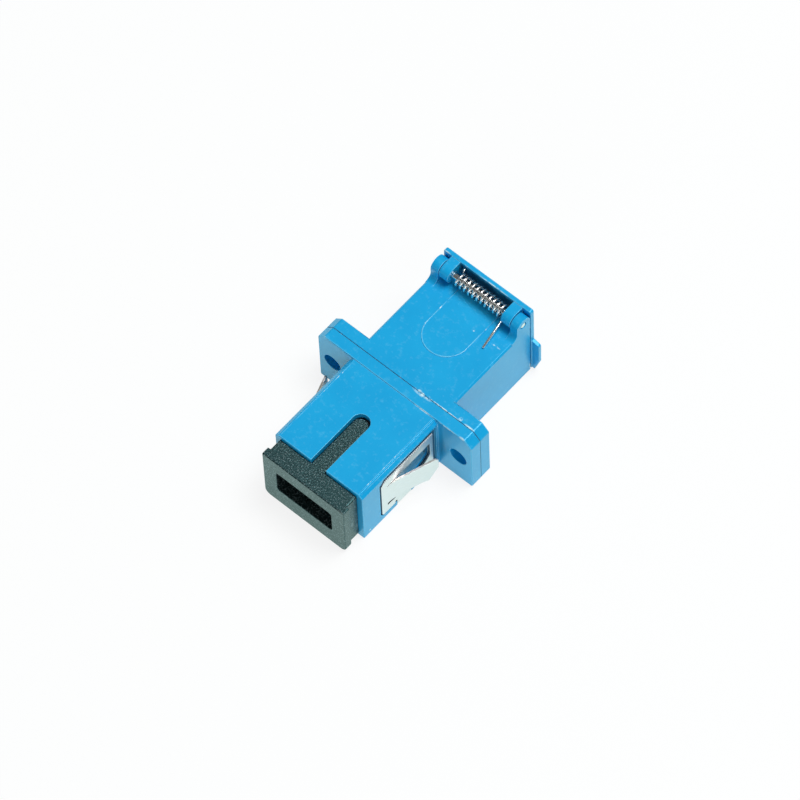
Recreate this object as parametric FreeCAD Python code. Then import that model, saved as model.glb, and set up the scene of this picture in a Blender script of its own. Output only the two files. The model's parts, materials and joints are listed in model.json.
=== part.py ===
import FreeCAD, Part
import math
import os

# Flanged simplex fibre adapter of the SC size: a moulded body in two welded halves, with a dust plug in the
# front port and a sprung flip shutter over the rear port.
# Millimetres. X runs across the flange, Y along the port axis (dust plug at -Y, shutter at +Y), Z is up.
# The origin is on the port axis, in the plane of the flange's front face.

V = FreeCAD.Vector

# Housing halves
body_width = 12.8
body_height = 9.3
front_length = 12.7
rear_length = 12.7
rear_step = 0.1
front_chamfer = 0.5
rear_chamfer = 0.2
edge_round = 0.07
corner_round = 0.1
seam_gap = 0.03

# Flange, one half of its thickness on each housing half
flange_width = 22.6
flange_half = 1.55
flange_lift = 0.05
flange_chamfer = 1.0
flange_round = 0.25
hole_to_end = 2.0
hole_radius = 1.2

# Port, keyway and the raised panel on the rear half's top
port_width = 9.0
port_height = 7.4
port_round = 0.3
keyway_width = 2.2
keyway_length = 8.2
inner_key_depth = 0.5
panel_width = 5.7
panel_start = 3.1
panel_end = 0.6
panel_height = 0.05

# Latch holders, each with a half of the sleeve tube and two hooks
holder_width = 10.0
holder_height = 7.8
holder_plate = 1.0
holder_fit = 0.05
tube_wall = 0.45
tube_reach = 6.15
tube_lip = 0.4
tube_mouth = 1.45
hook_reach = 9.2
hook_inside = 2.95
hook_thickness = 0.65
hook_half_height = 1.4
catch_depth = 0.5
catch_length = 1.2
catch_rake = 0.12
catch_flat = 0.48
catch_tip = 0.1
catch_round = 0.1

# Split alignment sleeve
sleeve_bore = 1.25
sleeve_wall = 0.35
sleeve_end_gap = 0.05
sleeve_slit = 0.5
sleeve_fit = 0.05

# Panel clip, one folded strip of sheet
clip_sheet = 0.25
clip_front = 9.55
clip_rear = 0.9
clip_top = 3.12
clip_bottom = 3.8
clip_corner = 0.4
clip_cut = 0.6
clip_side_inset = 0.01
clip_drop = 0.03
clip_fit = 0.03
clip_margin = 0.22
recess_top_gap = 0.6
recess_rear = 0.3
band_front = 7.05
band_rear = 4.7
band_bend = 0.3
relief_width = 0.3
relief_height = 0.35
tongue_root = 8.6
tongue_top = 1.5
tongue_bottom = 2.2
tongue_length = 6.74
tongue_angle = 19
tongue_bend = 4.0
tongue_waist_length = 2.9
tongue_waist = 0.14
tongue_ear_reach = 5.45
tongue_ear_length = 0.8
tongue_ear_drop = 0.12
tongue_cut_height = 1.85
tongue_corner = 0.4
window_top = 1.57
window_bottom = 2.62
window_rear = 1.35
window_slope_length = 3.0
window_slope_height = 1.15
window_corner_length = 0.75
window_corner_height = 1.75
window_round = 0.6
pocket_inset = 0.2
pocket_depth = 0.45

# Dust plug
plug_side_gap = 0.2
plug_top_drop = 0.55
plug_bottom_lift = 0.05
neck_side_inset = 0.75
neck_length = 1.65
lip_overhang = 0.35
lip_length = 1.0
lip_drop = 0.2
lip_round = 0.8
neck_round = 0.45
neck_top_round = 0.2
insert_length = 7.7
rib_side_gap = 0.15
rib_end_gap = 0.3
mouth_width = 8.1
mouth_height = 3.7
mouth_round = 0.35
mouth_depth = 2.5
hollow_width = 7.6

# Shutter hinge
hinge_rise = 1.6
ear_radius = 1.1
ear_width = 1.1
ear_foot = 0.9
knuckle_width = 1.3
knuckle_gap = 0.1
pin_radius = 0.42
pin_play = 0.05
pin_end_gap = 0.08
pin_chamfer = 0.1

# Shutter door
door_gap = 0.12
door_thickness = 0.58
door_rise = 1.2
door_floor_gap = 0.06
door_round = 0.3
tab_width = 1.02
tab_top = 1.3
tab_slope = 0.33
tab_low = 2.4
tab_foot = 0.33
tab_round = 0.3
tab_setback = 0.12
pad_depth = 0.5
pad_side_gap = 0.2
pad_end_gap = 0.3

# Torsion spring round the pin; its wire is drawn with five sides, which keeps the coil light
wire_radius = 0.135
wire_sides = 5
coil_radius = 0.79
coil_pitch = 0.61
coil_start_gap = 0.54
coil_end_gap = 0.03
door_leg_angle = 18
body_leg_bend = 1.0
body_leg_end_x = 4.2
body_leg_reach = 4.45
leg_gap = 0.03

# Places that follow from the sizes above
half_width = body_width / 2
body_bottom = -body_height / 2
front_top = body_height / 2
rear_top = front_top + rear_step
flange_top = rear_top
flange_bottom = body_bottom + flange_lift
seam_y = flange_half
flange_back = 2 * flange_half
rear_end = flange_back + rear_length
pocket_width = holder_width + 2 * holder_fit
pocket_height = holder_height + 2 * holder_fit
hole_spacing = flange_width - 2 * hole_to_end
sleeve_outer = sleeve_bore + sleeve_wall
sleeve_length = 2 * (tube_reach - tube_lip - sleeve_end_gap)
tube_bore = sleeve_outer + sleeve_fit
tube_outer = tube_bore + tube_wall
plate_outer = half_width - clip_side_inset
band_low = body_bottom - clip_drop
recess_floor = plate_outer - clip_sheet - clip_fit
hinge_y = rear_end - ear_radius
hinge_z = rear_top + hinge_rise
door_inner = rear_end + door_gap
door_outer = door_inner + door_thickness
door_top = hinge_z + door_rise
door_bottom = body_bottom + door_floor_gap
bore_radius = pin_radius + pin_play
knuckle_right = half_width - ear_width - knuckle_gap
knuckle_left = knuckle_right - knuckle_width
coil_start = coil_start_gap - knuckle_left
coil_room = knuckle_left - coil_end_gap - wire_radius - coil_start
coil_full_turns = int(coil_room / coil_pitch - 0.5)
plug_top = front_top - plug_top_drop
plug_bottom = body_bottom + plug_bottom_lift


def box(x0, x1, y0, y1, z0, z1):
    """A block between two corners."""
    return Part.makeBox(x1 - x0, y1 - y0, z1 - z0, V(x0, y0, z0))


def rounded_face(corners):
    """A flat face from (point, radius) corners; a radius of 0 leaves a corner sharp."""
    edges = []
    count = len(corners)
    starts = []
    ends = []
    arcs = []
    for i in range(count):
        point, radius = corners[i]
        if radius == 0:
            starts.append(point)
            ends.append(point)
            arcs.append(None)
            continue
        back = (corners[i - 1][0] - point).normalize()
        ahead = (corners[(i + 1) % count][0] - point).normalize()
        half_angle = back.getAngle(ahead) / 2
        reach = radius / math.tan(half_angle)
        inward = (back + ahead).normalize()
        centre = point + inward * (radius / math.sin(half_angle))
        first = point + back * reach
        last = point + ahead * reach
        starts.append(first)
        ends.append(last)
        arcs.append(Part.Arc(first, centre - inward * radius, last).toShape())
    for i in range(count):
        if arcs[i]:
            edges.append(arcs[i])
        after = starts[(i + 1) % count]
        if (ends[i] - after).Length > 1e-6:
            edges.append(Part.LineSegment(ends[i], after).toShape())
    return Part.Face(Part.Wire(edges))


def outline_xz(points, y0, y1):
    """A prism along Y from (x, z, radius) corners."""
    face = rounded_face([(V(x, y0, z), r) for x, z, r in points])
    return face.extrude(V(0, y1 - y0, 0))


def outline_yz(points, x0, x1):
    """A prism along X from (y, z, radius) corners."""
    face = rounded_face([(V(x0, y, z), r) for y, z, r in points])
    return face.extrude(V(x1 - x0, 0, 0))


def outline_xy(points, z0, z1):
    """A prism along Z from (x, y, radius) corners."""
    face = rounded_face([(V(x, y, z0), r) for x, y, r in points])
    return face.extrude(V(0, 0, z1 - z0))


def rectangle(half, low, high, radius):
    """The four corners of an upright rectangle, all with one radius."""
    return [(-half, low, radius), (half, low, radius), (half, high, radius), (-half, high, radius)]


def cylinder_y(radius, y0, y1, x=0.0, z=0.0):
    """A round bar along Y."""
    return Part.makeCylinder(radius, y1 - y0, V(x, y0, z), V(0, 1, 0))


def hinge_cylinder(radius, x0, x1):
    """A round bar along X on the hinge axis."""
    return Part.makeCylinder(radius, x1 - x0, V(x0, hinge_y, hinge_z), V(1, 0, 0))


def end_edges(shape, y):
    """The edges that lie in the plane across the port axis at y."""
    return [e for e in shape.Edges if all(abs(v.Point.y - y) < 1e-6 for v in e.Vertexes)]


def both_sides(shape):
    """A shape and its mirror image across the middle plane."""
    return [shape, shape.mirror(V(0, 0, 0), V(1, 0, 0))]


def body_block(y0, y1, top, chamfer, end):
    """The block of one housing half: its upper corners cut off, its other edges only broken."""
    c = chamfer
    r = corner_round
    points = [(-half_width, body_bottom, r), (half_width, body_bottom, r), (half_width, top - c, r),
              (half_width - c, top, r), (-half_width + c, top, r), (-half_width, top - c, r)]
    block = outline_xz(points, y0, y1)
    return block.makeChamfer(edge_round, end_edges(block, end))


def flange_slab(y0, y1, face_y):
    """One half of the flange, with the edges of its free face rounded."""
    half = flange_width / 2
    c = flange_chamfer
    points = [(-half, flange_bottom, flange_round), (half, flange_bottom, flange_round),
              (half, flange_top - c, c / 3), (half - c, flange_top, c / 3),
              (-half + c, flange_top, c / 3), (-half, flange_top - c, c / 3)]
    slab = outline_xz(points, y0, y1)
    slab = slab.makeChamfer(edge_round, end_edges(slab, face_y))
    for x in (-hole_spacing / 2, hole_spacing / 2):
        slab = slab.cut(cylinder_y(hole_radius, y0 - 1, y1 + 1, x))
    return slab


def port(y0, y1):
    """The space that a connector enters."""
    return outline_xz(rectangle(port_width / 2, -port_height / 2, port_height / 2, port_round), y0, y1)


def holder_pocket(y0, y1):
    """The wider space at the seam that a latch holder's plate sits in."""
    return outline_xz(rectangle(pocket_width / 2, -pocket_height / 2, pocket_height / 2, port_round), y0, y1)


def keyway(depth_top):
    """The round-ended slot for the key, open at the front face."""
    end = -front_length + keyway_length
    half = keyway_width / 2
    mouth = -front_length - 1
    points = [(-half, mouth, 0), (half, mouth, 0), (half, end, half), (-half, end, half)]
    return outline_xy(points, 0, depth_top)


def window_outline(inset):
    """Corners, in Y and Z, of the opening that a tongue is cut from, its lower edge rising to the rear."""
    front = -tongue_root
    rear = -window_rear - inset
    high = window_top - inset
    low = -window_bottom + inset
    return [(front, low, corner_round), (rear - window_slope_length, low, window_round),
            (rear - window_corner_length, low + window_slope_height, window_round),
            (rear, low + window_corner_height, window_round), (rear, high, tongue_corner), (front, high, 0)]


def clip_recess():
    """What the clip needs from the front housing: side recesses, tongue pockets and the band's channel."""
    front = -clip_front - clip_margin
    rear = -recess_rear
    high = clip_top + recess_top_gap
    low = -clip_bottom - clip_fit
    corner = clip_corner + clip_margin / 2
    cut = clip_cut + clip_margin / 2
    side = outline_yz([(front, low, corner), (rear, low, 0), (rear, high, 0), (front + cut, high, 0),
                       (front, high - cut, 0)], recess_floor, half_width + 1)
    pocket = outline_yz(window_outline(pocket_inset), recess_floor - pocket_depth, half_width)
    side_x = half_width + 1
    band = box(-side_x, side_x, -band_front - clip_fit, -band_rear + clip_fit, body_bottom - 1, 0)
    band = band.cut(outline_xz(clip_strip(clip_sheet + clip_fit), -clip_front, 0))
    return both_sides(side) + both_sides(pocket) + [band]


def front_housing():
    """The panel-side half: port with its keyway, clip recesses and the front half of the flange."""
    shape = body_block(-front_length, seam_y - seam_gap, front_top, front_chamfer, -front_length)
    shape = shape.fuse(flange_slab(0, seam_y - seam_gap, 0)).removeSplitter()
    shape = shape.cut(port(-front_length - 1, seam_y + 1))
    shape = shape.cut(holder_pocket(seam_y - holder_plate, seam_y + 1))
    shape = shape.cut(keyway(front_top + 1))
    for tool in clip_recess():
        shape = shape.cut(tool)
    return shape


def raised_panel():
    """The shallow raised field on the rear half's top: round in front, it runs back under the coil."""
    half = panel_width / 2
    start = flange_back + panel_start
    end = rear_end - panel_end
    return outline_xy([(-half, end, 0), (-half, start, half), (half, start, half), (half, end, 0)],
                      rear_top - edge_round, rear_top + panel_height)


def hinge_ear():
    """The right ear that holds the pin, rising out of the rear half's side on a curved foot."""
    front = hinge_y - ear_radius
    foot = rear_top + ear_foot
    low = rear_top - rear_chamfer - edge_round
    slope = ear_foot * (1 - math.sqrt(0.5))
    edges = [
        Part.LineSegment(V(0, front - ear_foot, low), V(0, front - ear_foot, rear_top)),
        Part.Arc(V(0, front - ear_foot, rear_top), V(0, front - slope, rear_top + slope), V(0, front, foot)),
        Part.LineSegment(V(0, front, foot), V(0, front, hinge_z)),
        Part.Arc(V(0, front, hinge_z), V(0, hinge_y, hinge_z + ear_radius), V(0, rear_end, hinge_z)),
        Part.LineSegment(V(0, rear_end, hinge_z), V(0, rear_end, low)),
        Part.LineSegment(V(0, rear_end, low), V(0, front - ear_foot, low)),
    ]
    face = Part.Face(Part.Wire([e.toShape() for e in edges]))
    face.translate(V(half_width - ear_width, 0, 0))
    return face.extrude(V(ear_width, 0, 0))


def rear_housing():
    """The shutter-side half: port with an inner key groove, the flange's rear half and the hinge ears."""
    shape = body_block(seam_y, rear_end, rear_top, rear_chamfer, rear_end)
    shape = shape.fuse(flange_slab(seam_y, flange_back, flange_back)).removeSplitter()
    for ear in both_sides(hinge_ear()):
        shape = shape.fuse(ear)
    shape = shape.fuse(raised_panel())
    shape = shape.cut(port(seam_y - 1, rear_end + 1))
    shape = shape.cut(holder_pocket(seam_y - 1, seam_y + holder_plate))
    half_key = keyway_width / 2
    shape = shape.cut(box(-half_key, half_key, rear_end - keyway_length, rear_end + 1,
                          0, port_height / 2 + inner_key_depth))
    return shape.cut(hinge_cylinder(bore_radius, -flange_width, flange_width))


def latch_hook():
    """One springy hook of a latch holder, pointing out of the front port."""
    inner = hook_inside
    outer = hook_inside + hook_thickness
    tip = seam_y - hook_reach
    base = seam_y - holder_plate / 2
    catch_back = tip + catch_length
    catch_side = inner - catch_depth
    points = [(inner, base, 0), (inner, catch_back, 0), (catch_side, catch_back - catch_rake, 0),
              (catch_side, catch_back - catch_rake - catch_flat, catch_round),
              (inner - catch_tip, tip, catch_round), (outer, tip, catch_round), (outer, base, 0)]
    return outline_xy(points, -hook_half_height, hook_half_height)


def latch_holder():
    """The insert in the front half: a base plate, two hooks and half of the tube for the sleeve."""
    shape = outline_xz(rectangle(holder_width / 2, -holder_height / 2, holder_height / 2, port_round),
                       seam_y - holder_plate, seam_y)
    shape = shape.fuse(cylinder_y(tube_outer, seam_y - tube_reach, seam_y - holder_plate / 2))
    for hook in both_sides(latch_hook()):
        shape = shape.fuse(hook)
    shape = shape.cut(cylinder_y(tube_bore, seam_y - tube_reach + tube_lip, seam_y + 1))
    return shape.cut(cylinder_y(tube_mouth, seam_y - tube_reach - 1, seam_y))


def turned_about_seam(shape):
    """The same insert turned round to serve the rear half."""
    turned = shape.copy()
    turned.rotate(V(0, seam_y, 0), V(0, 0, 1), 180)
    return turned


def alignment_sleeve():
    """The split sleeve that lines the two ferrules up."""
    start = seam_y - sleeve_length / 2
    end = seam_y + sleeve_length / 2
    shape = cylinder_y(sleeve_outer, start, end).cut(cylinder_y(sleeve_bore, start - 1, end + 1))
    half_slit = sleeve_slit / 2
    return shape.cut(box(-half_slit, half_slit, start - 1, end + 1, 0, sleeve_outer + 1))


def clip_strip(offset):
    """The section of the band and of the plates it joins: a U, open upwards, inset by an offset."""
    x = plate_outer - offset
    low = band_low + offset
    bend = band_bend - min(offset, clip_sheet)
    return [(-x, low, bend), (x, low, bend), (x, clip_top + 1, 0), (-x, clip_top + 1, 0)]


def clip_plate():
    """The right side plate with its tongue's window and a relief notch at each side of the band."""
    inner = plate_outer - clip_sheet
    cut_round = clip_corner / 2
    plate = outline_yz([(-clip_front, -clip_bottom, clip_corner), (-clip_rear, -clip_bottom, clip_corner),
                        (-clip_rear, clip_top, corner_round), (-clip_front + clip_cut, clip_top, cut_round),
                        (-clip_front, clip_top - clip_cut, cut_round)], inner, plate_outer)
    plate = plate.cut(outline_yz(window_outline(0), 0, half_width + 1))
    low = -clip_bottom
    for y0, y1 in ((-band_front - relief_width, -band_front), (-band_rear, -band_rear + relief_width)):
        plate = plate.cut(box(0, half_width + 1, y0, y1, low - 1, low + relief_height))
    return plate


def clip_tongue():
    """The right tongue: it curves outwards from its root, runs on straight and latches behind a panel."""
    front = -tongue_root
    low = -tongue_bottom
    turn = math.radians(tongue_angle)
    ahead = V(math.sin(turn), math.cos(turn), 0)
    inward = V(-math.cos(turn), math.sin(turn), 0)
    corner = V(plate_outer, front + tongue_bend * math.tan(turn / 2), 0)
    inner_corner = corner + V(-clip_sheet, clip_sheet * math.tan(turn / 2), 0)
    end = corner + ahead * tongue_length
    inner_end = end + inward * clip_sheet
    inner_bend = tongue_bend + clip_sheet
    sheet = outline_xy([(plate_outer, front, 0), (corner.x, corner.y, tongue_bend), (end.x, end.y, 0),
                        (inner_end.x, inner_end.y, 0), (inner_corner.x, inner_corner.y, inner_bend),
                        (plate_outer - clip_sheet, front, 0)], low - tongue_ear_drop, tongue_top)
    rear = front + tongue_length
    ear = front + tongue_ear_reach
    blank = outline_yz([(front - clip_sheet, low, 0), (front, low, 0),
                        (front + tongue_waist_length, low + tongue_waist, tongue_corner),
                        (ear - tongue_ear_length, low + tongue_waist, tongue_corner),
                        (ear, low - tongue_ear_drop, edge_round),
                        (rear, low + tongue_cut_height, tongue_corner),
                        (rear, tongue_top, tongue_corner), (front - clip_sheet, tongue_top, 0)],
                       plate_outer - tongue_bend, plate_outer + tongue_bend)
    blank.rotate(corner, V(0, 0, 1), -tongue_angle)
    return sheet.common(blank)


def retention_clip():
    """The panel clip: one strip folded under the front half, with a plate and a tongue on each side."""
    outer = outline_xz(clip_strip(0), -band_front, -band_rear)
    band = outer.cut(outline_xz(clip_strip(clip_sheet), -clip_front, 0))
    plates_start = -clip_bottom + relief_height
    band = band.cut(box(-half_width, half_width, -clip_front, 0, plates_start, clip_top + 2))
    shape = band
    for plate in both_sides(clip_plate()):
        shape = shape.fuse(plate)
    for tongue in both_sides(clip_tongue()):
        shape = shape.fuse(tongue)
    return shape.removeSplitter()


def dust_plug():
    """The plug in the front port: head with a lip, hollow insert and the rib that fills the keyway."""
    face = -front_length
    neck_end = face - neck_length
    half_neck = half_width - neck_side_inset
    half_lip = half_neck + lip_overhang
    half_insert = port_width / 2 - plug_side_gap
    insert_high = port_height / 2 - plug_side_gap
    neck_low = plug_bottom + lip_drop
    neck = outline_xz([(-half_neck, neck_low, neck_round), (half_neck, neck_low, neck_round),
                       (half_neck, plug_top, neck_top_round), (-half_neck, plug_top, neck_top_round)],
                      neck_end, face - seam_gap)
    lip_points = [(-half_lip, plug_bottom, lip_round), (half_lip, plug_bottom, lip_round),
                  (half_lip, plug_top, edge_round * 2), (-half_lip, plug_top, edge_round * 2)]
    lip = outline_xz(lip_points, neck_end - lip_length, neck_end)
    lip = lip.makeChamfer(edge_round, end_edges(lip, neck_end - lip_length))
    insert = outline_xz(rectangle(half_insert, -insert_high, insert_high, port_round),
                        neck_end, face + insert_length)
    rib_half = keyway_width / 2 - rib_side_gap
    rib_end = face + keyway_length - rib_end_gap
    rib = outline_xy([(-rib_half, neck_end, 0), (rib_half, neck_end, 0), (rib_half, rib_end, rib_half),
                      (-rib_half, rib_end, rib_half)], 0, plug_top)
    shape = neck.fuse([lip, insert, rib])
    high = mouth_height / 2
    end = neck_end - lip_length
    hollow = rectangle(hollow_width / 2, -high, high, mouth_round)
    mouth = rectangle(mouth_width / 2, -high, high, mouth_round)
    shape = shape.cut(outline_xz(hollow, end - 1, face + keyway_length))
    shape = shape.cut(outline_xz(mouth, end - 1, end + mouth_depth))
    return shape.removeSplitter()


def knuckle():
    """The right knuckle of the door: round in front, joined to the door behind, with the pin's bore."""
    low = hinge_z - ear_radius
    high = hinge_z + ear_radius
    r = ear_radius
    front = hinge_y - ear_radius
    back = door_inner + door_thickness / 2
    return outline_yz([(front, low, r), (back, low, 0), (back, high, 0), (front, high, r)],
                      knuckle_left, knuckle_right)


def shutter_door():
    """The flip shutter: a plate over the rear port with two knuckles and a finger tab on its right side."""
    r = door_round
    tab = half_width + tab_width
    points = [(-half_width, door_bottom, r), (half_width + tab_foot, door_bottom, corner_round),
              (tab, -tab_low, tab_round), (tab, tab_top - tab_slope, tab_round), (half_width, tab_top, 0),
              (half_width, door_top, r), (-half_width, door_top, r)]
    plate = outline_xz(points, door_inner, door_outer)
    plate = plate.makeChamfer(edge_round, end_edges(plate, door_outer))
    setback = door_inner + tab_setback
    plate = plate.cut(box(half_width, tab + 1, door_inner - 1, setback, door_bottom - 1, door_top))
    pad_side = port_width / 2 - pad_side_gap
    pad_end = port_height / 2 - pad_end_gap
    pad = outline_xz(rectangle(pad_side, -pad_end, pad_end, port_round), rear_end - pad_depth, door_inner)
    plate = plate.fuse(pad)
    for part in both_sides(knuckle()):
        plate = plate.fuse(part)
    return plate.cut(hinge_cylinder(bore_radius, -half_width, half_width)).removeSplitter()


def hinge_pin():
    """The steel pin through both ears and both knuckles."""
    reach = half_width - pin_end_gap
    pin = hinge_cylinder(pin_radius, -reach, reach)
    return pin.makeChamfer(pin_chamfer, [e for e in pin.Edges if e.Closed])


def half_turn(x, side, start=0.0, end=180.0):
    """Centre line of half a turn of the coil, moving on by half a pitch: from its top over the back (side 1)
    or from its bottom over the front (side -1). Each joins the next in line, as both run along Y there."""
    first = V(x, hinge_y, hinge_z + side * coil_radius)
    last = V(x + coil_pitch / 2, hinge_y, hinge_z - side * coil_radius)
    centre = (first + last) / 2
    along = first - centre
    across = V(0, side * along.Length, 0)

    def point(angle):
        turned = math.radians(angle)
        return centre + along * math.cos(turned) + across * math.sin(turned)

    return Part.Arc(point(start), point((start + end) / 2), point(end)).toShape()


def bend(start, heading, target, radius):
    """An arc that turns a heading to a new one."""
    inward = heading.cross(target).cross(heading).normalize()
    centre = start + inward * radius
    turned = heading.getAngle(target)

    def point(angle):
        return centre - inward * radius * math.cos(angle) + heading * radius * math.sin(angle)

    return Part.Arc(start, point(turned / 2), point(turned)).toShape()


def body_leg_angle():
    """Slope, in degrees, of the leg that leaves the coil's underside and ends on the rear half's top."""
    rise = hinge_z - rear_top - wire_radius - leg_gap
    to_axis = math.hypot(body_leg_reach, rise)
    return math.degrees(math.atan2(rise, body_leg_reach) - math.asin(coil_radius / to_axis))


def torsion_spring():
    """The coil round the pin, with one leg up behind it on the door and one along the rear half's top."""
    x = coil_start
    path = [half_turn(x, 1, 90 + door_leg_angle, 180)]
    for turn in range(coil_full_turns):
        x += coil_pitch / 2
        path.append(half_turn(x, -1))
        x += coil_pitch / 2
        last = turn == coil_full_turns - 1
        path.append(half_turn(x, 1, 0, 180 - body_leg_angle() if last else 180))
    first = path[0].valueAt(path[0].FirstParameter)
    rising = path[0].tangentAt(path[0].FirstParameter) * -1
    door_leg_end = first + rising * ((door_inner - wire_radius - leg_gap - first.y) / rising.y)
    path.insert(0, Part.LineSegment(door_leg_end, first).toShape())
    leave = path[-1].valueAt(path[-1].LastParameter)
    heading = path[-1].tangentAt(path[-1].LastParameter)
    leg_end = V(body_leg_end_x, hinge_y - body_leg_reach, rear_top + wire_radius + leg_gap)
    path.append(bend(leave, heading, leg_end - leave, body_leg_bend))
    path.append(Part.LineSegment(path[-1].valueAt(path[-1].LastParameter), leg_end).toShape())
    circle = Part.Circle(door_leg_end, rising, wire_radius)
    section = Part.makePolygon([circle.value(2 * math.pi * i / wire_sides) for i in range(wire_sides + 1)])
    return Part.Wire(path).makePipeShell([section], True, False)


def write(node, shape):
    """Writes one node's file."""
    shape.exportStep("parts/" + node + ".step")


def main():
    os.makedirs("parts", exist_ok=True)
    holder = latch_holder()
    write("front_housing", front_housing())
    write("rear_housing", rear_housing())
    write("front_latch_holder", holder)
    write("rear_latch_holder", turned_about_seam(holder))
    write("alignment_sleeve", alignment_sleeve())
    write("retention_clip", retention_clip())
    write("dust_plug", dust_plug())
    write("shutter_door", shutter_door())
    write("hinge_pin", hinge_pin())
    write("torsion_spring", torsion_spring())


main()
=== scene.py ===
# Looks of the fibre adapter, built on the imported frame: rounded copies of the moulded parts and of the clip,
# the spring's real wire, their materials, a white floor, soft lights and the camera. Metres throughout,
# except where a comment says millimetres.

import json
import math

import bpy
import bmesh
from mathutils import Matrix, Vector
from mathutils.geometry import delaunay_2d_cdt


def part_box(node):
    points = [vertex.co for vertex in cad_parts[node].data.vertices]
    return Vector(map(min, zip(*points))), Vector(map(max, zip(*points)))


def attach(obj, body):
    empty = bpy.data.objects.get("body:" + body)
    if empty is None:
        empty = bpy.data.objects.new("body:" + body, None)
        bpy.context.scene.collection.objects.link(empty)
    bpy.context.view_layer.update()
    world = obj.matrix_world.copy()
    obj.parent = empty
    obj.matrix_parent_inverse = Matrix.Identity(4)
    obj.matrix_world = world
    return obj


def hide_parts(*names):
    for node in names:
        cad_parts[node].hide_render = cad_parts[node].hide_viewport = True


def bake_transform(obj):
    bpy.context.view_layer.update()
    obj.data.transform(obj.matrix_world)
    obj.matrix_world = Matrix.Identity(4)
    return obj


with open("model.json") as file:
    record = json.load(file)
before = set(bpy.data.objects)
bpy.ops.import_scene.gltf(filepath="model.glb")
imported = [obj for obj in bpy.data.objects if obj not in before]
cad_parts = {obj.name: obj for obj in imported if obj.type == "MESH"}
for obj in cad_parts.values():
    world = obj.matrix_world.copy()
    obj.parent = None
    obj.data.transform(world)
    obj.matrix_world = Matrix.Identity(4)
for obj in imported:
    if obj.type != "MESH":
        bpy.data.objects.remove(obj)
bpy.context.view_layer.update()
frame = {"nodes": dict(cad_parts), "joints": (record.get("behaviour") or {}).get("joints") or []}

MM = 0.001
SCENE = bpy.context.scene

# Places read from the frame
HINGE = Vector(frame["joints"][0]["pos_m"])
PLUG_LOW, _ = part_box("dust_plug")
FRONT_LOW, FRONT_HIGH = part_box("front_housing")
REAR_LOW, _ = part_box("rear_housing")
CLIP_LOW, CLIP_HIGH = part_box("retention_clip")
REAR_TOP = FRONT_HIGH.z

# Camera, fitted to the photo's frame
CAMERA_PLACE = Vector((0.239190, -0.250397, 0.613079))
CAMERA_RIGHT = Vector((0.753794, 0.656635, -0.024988))
CAMERA_UP = Vector((-0.562337, 0.664283, 0.492448))
CAMERA_LENS = 284.0158
CAMERA_SENSOR = 36.0
CAMERA_CLIP = (0.01, 20.0)


# Nodes

def new_material(name):
    """A material with a Principled shader; returns it with its tree and shader."""
    material = bpy.data.materials.new(name)
    material.use_nodes = True
    tree = material.node_tree
    return material, tree, tree.nodes["Principled BSDF"]


def add(tree, kind, **values):
    """A node with its inputs or properties set by name."""
    node = tree.nodes.new(kind)
    for key, value in values.items():
        if key in node.inputs:
            node.inputs[key].default_value = value
        else:
            setattr(node, key, value)
    return node


def object_position(tree):
    """The point's place in the piece's own frame, which stays with it as it moves."""
    return add(tree, "ShaderNodeTexCoord").outputs["Object"]


def noise(tree, place, scale, detail=3.0, rough=0.5):
    """A noise value at a scale in cycles per metre."""
    node = add(tree, "ShaderNodeTexNoise", Scale=scale, Detail=detail, Roughness=rough)
    tree.links.new(place, node.inputs["Vector"])
    return node.outputs["Fac"]


def ramp(tree, value, stops):
    """A colour ramp from (position, colour) stops."""
    node = add(tree, "ShaderNodeValToRGB")
    marks = node.color_ramp.elements
    while len(marks) < len(stops):
        marks.new(0.5)
    for mark, (position, colour) in zip(marks, stops):
        mark.position = position
        mark.color = (*colour, 1.0)
    tree.links.new(value, node.inputs["Fac"])
    return node.outputs["Color"]


def span(tree, value, low, high, to_low=0.0, to_high=1.0):
    """A value mapped from one range to another and kept inside it."""
    node = add(tree, "ShaderNodeMapRange")
    node.inputs["From Min"].default_value = low
    node.inputs["From Max"].default_value = high
    node.inputs["To Min"].default_value = to_low
    node.inputs["To Max"].default_value = to_high
    tree.links.new(value, node.inputs["Value"])
    return node.outputs["Result"]


def math_node(tree, operation, first, second):
    """A Math node on two sockets or numbers."""
    node = add(tree, "ShaderNodeMath", operation=operation)
    for socket, value in zip(node.inputs, (first, second)):
        if hasattr(value, "is_output"):
            tree.links.new(value, socket)
        else:
            socket.default_value = value
    return node.outputs["Value"]


def mix(tree, share, first, second):
    """Two colours mixed by a share; each may be a socket or a plain colour."""
    node = add(tree, "ShaderNodeMix", data_type="RGBA")
    if hasattr(share, "is_output"):
        tree.links.new(share, node.inputs["Factor"])
    else:
        node.inputs["Factor"].default_value = share
    for socket, value in ((node.inputs["A"], first), (node.inputs["B"], second)):
        if hasattr(value, "is_output"):
            tree.links.new(value, socket)
        else:
            socket.default_value = (*value, 1.0)
    return node.outputs["Result"]


def bump(tree, shader, height, strength, distance):
    """Bump on a shader, from a height value."""
    node = add(tree, "ShaderNodeBump", Strength=strength, Distance=distance)
    tree.links.new(height, node.inputs["Height"])
    tree.links.new(node.outputs["Normal"], shader.inputs["Normal"])


def axes(tree, place):
    """The three parts of a place."""
    node = add(tree, "ShaderNodeSeparateXYZ")
    tree.links.new(place, node.inputs["Vector"])
    return node.outputs["X"], node.outputs["Y"], node.outputs["Z"]


def absolute(tree, value):
    """A value without its sign."""
    return math_node(tree, "ABSOLUTE", value, 0.0)


def product(tree, *values):
    """The product of several values."""
    total = values[0]
    for value in values[1:]:
        total = math_node(tree, "MULTIPLY", total, value)
    return total


def inside(tree, value, low, high, soft):
    """1 where a value lies between two limits, with soft ends."""
    rise = span(tree, value, low - soft, low + soft)
    fall = span(tree, value, high - soft, high + soft, 1.0, 0.0)
    return math_node(tree, "MULTIPLY", rise, fall)


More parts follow.
